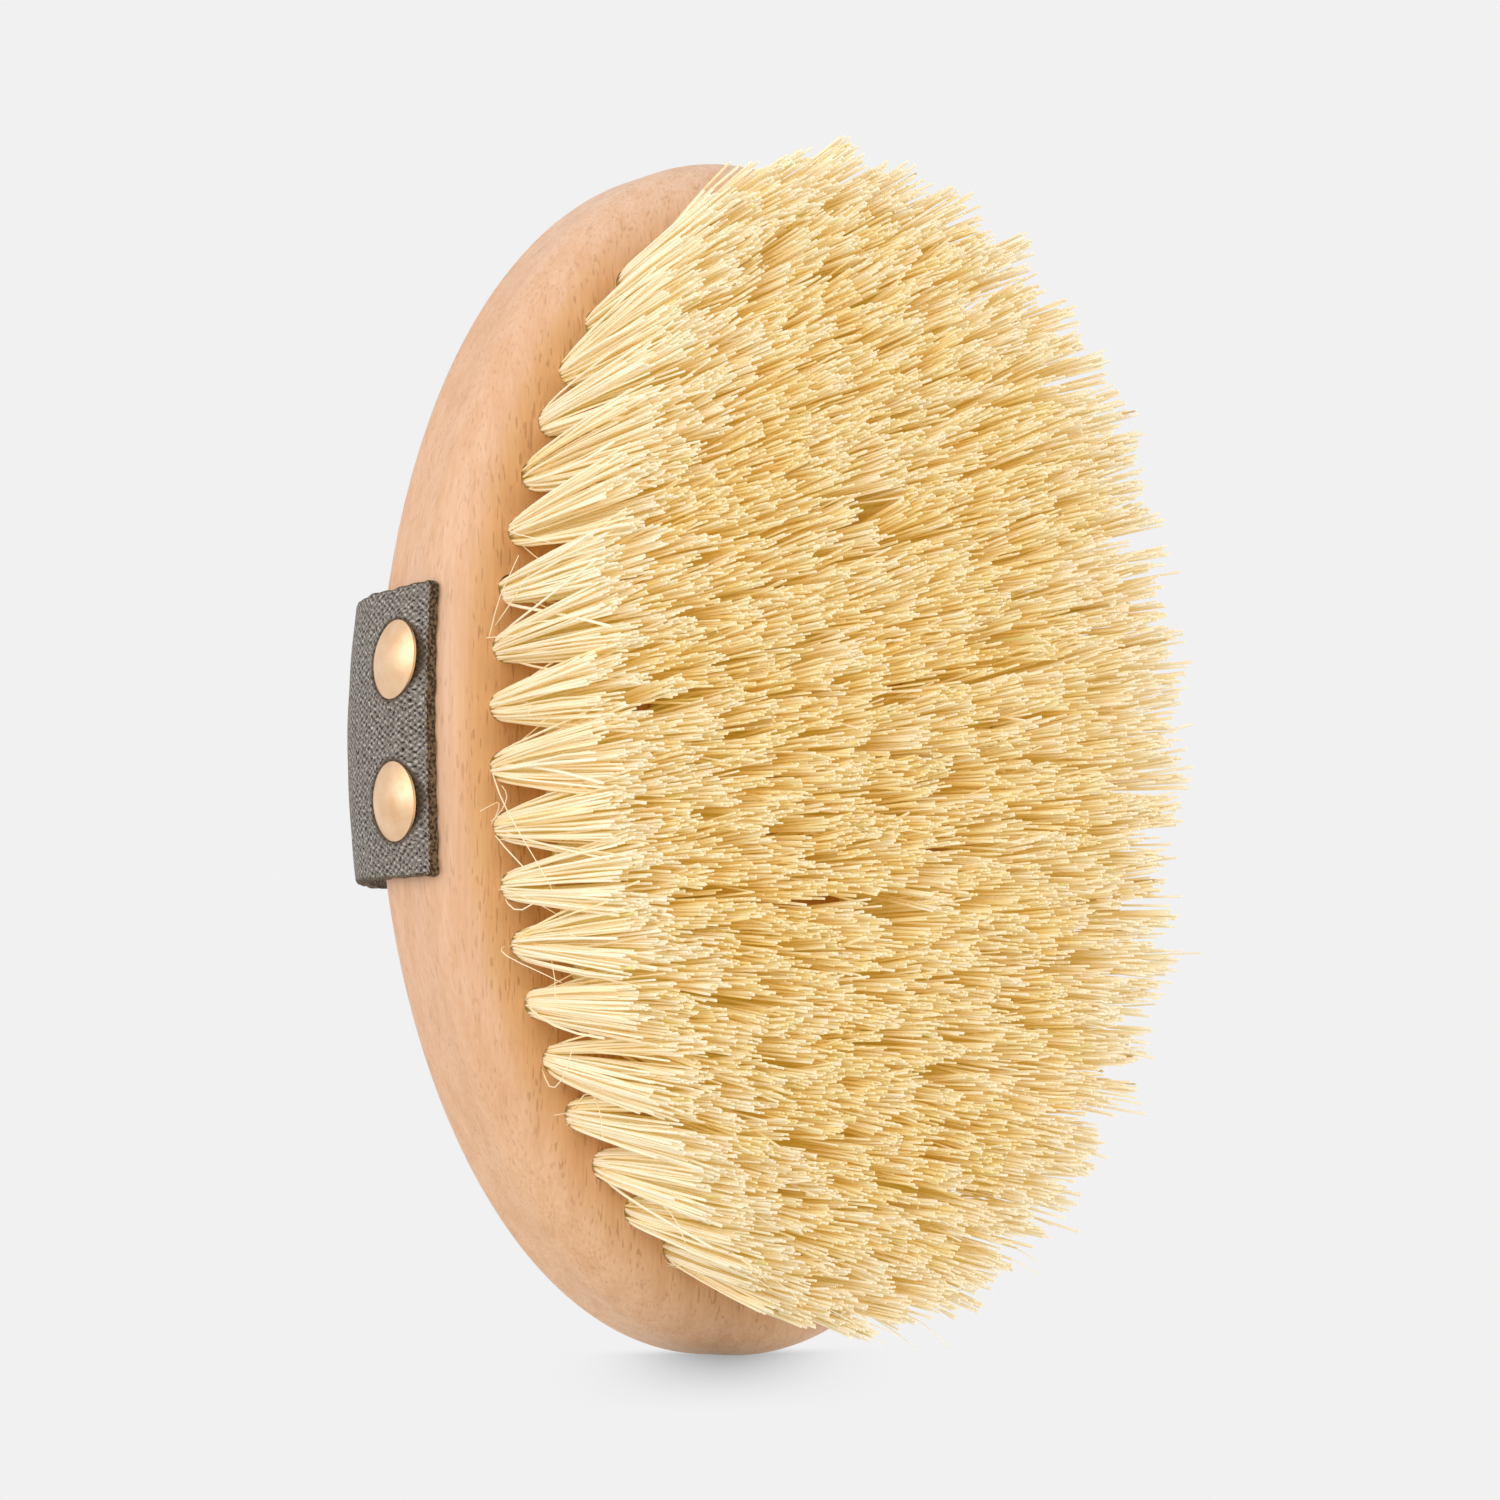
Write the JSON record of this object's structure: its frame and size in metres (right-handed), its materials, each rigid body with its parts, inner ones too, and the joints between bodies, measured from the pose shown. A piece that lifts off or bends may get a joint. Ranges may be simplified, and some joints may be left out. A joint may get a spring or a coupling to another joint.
{
  "type": "body dry brush",
  "caption": "Oval wooden body brush with fanned plant-fibre tufts, a fabric hand strap over its back and domed brass tacks on the side walls.",
  "frame": {"origin": "bottom centre of the whole brush's box, with the brush standing on one end of its oval", "axes": "+Z along the brush's length, -Y from the block towards the bristle tips, +Y towards the hand strap's arch, +X to the right as seen from the bristles"},
  "size_m": [0.0932, 0.0703, 0.14],
  "materials": {
    "wood": "sanded and lightly oiled beech",
    "bristle": "raw cream plant fibre, cut ends",
    "strap_fabric": "thick dark grey woven fabric",
    "brass": "satin brass",
    "anchor_wire": "flat drawn wire"
  },
  "bodies": {
    "root": {"anchors_centre": "anchor_wire", "anchors_ring_1": "anchor_wire", "anchors_ring_2": "anchor_wire", "anchors_ring_3": "anchor_wire", "anchors_ring_4": "anchor_wire", "anchors_ring_5": "anchor_wire", "hand_strap": "strap_fabric", "tack_left_lower": "brass", "tack_left_upper": "brass", "tack_right_lower": "brass", "tack_right_upper": "brass", "tufts_centre": "bristle", "tufts_ring_1_lower_left": "bristle", "tufts_ring_1_lower_right": "bristle", "tufts_ring_1_upper_left": "bristle", "tufts_ring_1_upper_right": "bristle", "tufts_ring_2_lower_left": "bristle", "tufts_ring_2_lower_right": "bristle", "tufts_ring_2_upper_left": "bristle", "tufts_ring_2_upper_right": "bristle", "tufts_ring_3_lower_left": "bristle", "tufts_ring_3_lower_right": "bristle", "tufts_ring_3_upper_left": "bristle", "tufts_ring_3_upper_right": "bristle", "tufts_ring_4_lower_left": "bristle", "tufts_ring_4_lower_right": "bristle", "tufts_ring_4_upper_left": "bristle", "tufts_ring_4_upper_right": "bristle", "tufts_ring_5_lower_left": "bristle", "tufts_ring_5_lower_right": "bristle", "tufts_ring_5_upper_left": "bristle", "tufts_ring_5_upper_right": "bristle", "wood_block": "wood"}
  },
  "joints": []
}
